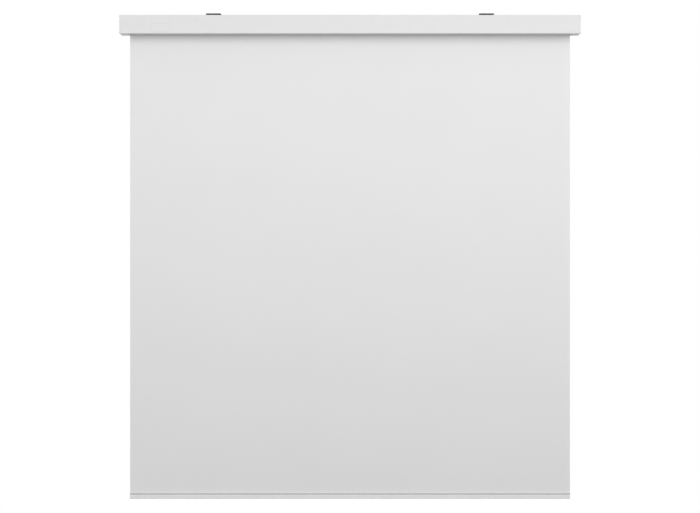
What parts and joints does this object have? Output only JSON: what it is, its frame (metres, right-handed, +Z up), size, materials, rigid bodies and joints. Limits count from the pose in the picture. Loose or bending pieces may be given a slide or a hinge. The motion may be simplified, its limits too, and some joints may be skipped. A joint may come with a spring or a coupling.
{
  "type": "motorized projection screen",
  "caption": "Square roll-down projection screen in a slim casing with a tubular motor, weighted bottom bar and sliding ceiling brackets.",
  "frame": {"origin": "on the ceiling plane, the top of the bracket plates, midway between the two brackets", "axes": "+X along the casing to the viewer's right, +Y to the back, +Z up; the screen faces -Y"},
  "size_m": [2.0794, 0.086, 2.197],
  "materials": {
    "casing_white": "satin white powder coat",
    "cap_white": "die cast, satin white paint",
    "bar_white": "satin white powder coat",
    "bar_cap_white": "moulded white",
    "fabric_white": "matte white front, black back",
    "roller_metal": "mill finish",
    "plate_zinc": "zinc plated",
    "screw_zinc": "zinc plated",
    "rod_steel": "drawn steel",
    "bracket_black": "black powder coat",
    "motor_paint": "zinc plated",
    "moulded_black": "moulded black",
    "moulded_grey": "moulded grey",
    "bush_natural": "natural acetal",
    "gland_rubber": "matte rubber"
  },
  "bodies": {
    "case": {"rear_housing": "casing_white", "front_cover": "casing_white", "end_cap_left": "cap_white", "end_cap_right": "cap_white", "cable_gland": "gland_rubber", "motor_plate": "plate_zinc", "idler_plate": "plate_zinc", "motor_head": "moulded_black", "motor_sleeve": "motor_paint", "limit_switch_unit": "moulded_grey", "motor_stator": "rod_steel", "motor_gearbox": "moulded_grey", "idler_bush": "bush_natural", "screen_fabric": "fabric_white"},
    "roller": {"roller_tube": "roller_metal", "fabric_wrap": "fabric_white", "fabric_spline": "moulded_grey", "crown_ring": "moulded_black", "drive_wheel": "moulded_black", "output_shaft": "rod_steel", "idler_plug": "moulded_black", "idler_pin": "rod_steel"},
    "weight_bar": {"weight_bar": "bar_white", "hem_rod": "rod_steel", "ballast_rod": "rod_steel", "bar_cap_left": "bar_cap_white", "bar_cap_right": "bar_cap_white"},
    "bracket_left": {"bracket_left": "bracket_black", "bracket_jaw_left": "bracket_black"},
    "bracket_right": {"bracket_right": "bracket_black", "bracket_jaw_right": "bracket_black"},
    "limit_screw_upper": {"limit_screw_upper": "screw_zinc"},
    "limit_screw_lower": {"limit_screw_lower": "screw_zinc"}
  },
  "joints": [
    {"name": "roller_spin", "type": "hinge", "parent": "case", "child": "roller", "pos_m": [0, 0.002, -0.0485], "axis": [1, 0, 0], "range_deg": [0, 4182.8]},
    {"name": "bar_lift", "type": "slide", "parent": "case", "child": "weight_bar", "axis": [0, 0, 1], "range_m": [0, 2.089], "deforming": ["screen_fabric"]},
    {"name": "bracket_slide_left", "type": "slide", "parent": "case", "child": "bracket_left", "axis": [1, 0, 0], "range_m": [-0.38, 0.5]},
    {"name": "bracket_slide_right", "type": "slide", "parent": "case", "child": "bracket_right", "axis": [1, 0, 0], "range_m": [-0.5, 0.38]},
    {"name": "limit_turn_upper", "type": "hinge", "parent": "case", "child": "limit_screw_upper", "pos_m": [-1.0247, -0.01, -0.0585], "axis": [1, 0, 0], "continuous": true},
    {"name": "limit_turn_lower", "type": "hinge", "parent": "case", "child": "limit_screw_lower", "pos_m": [-1.0247, 0.014, -0.0585], "axis": [1, 0, 0], "continuous": true}
  ],
  "couplings": [
    {"joint": "bar_lift", "follows": "roller_spin", "m_per_rad": 0.028614}
  ]
}
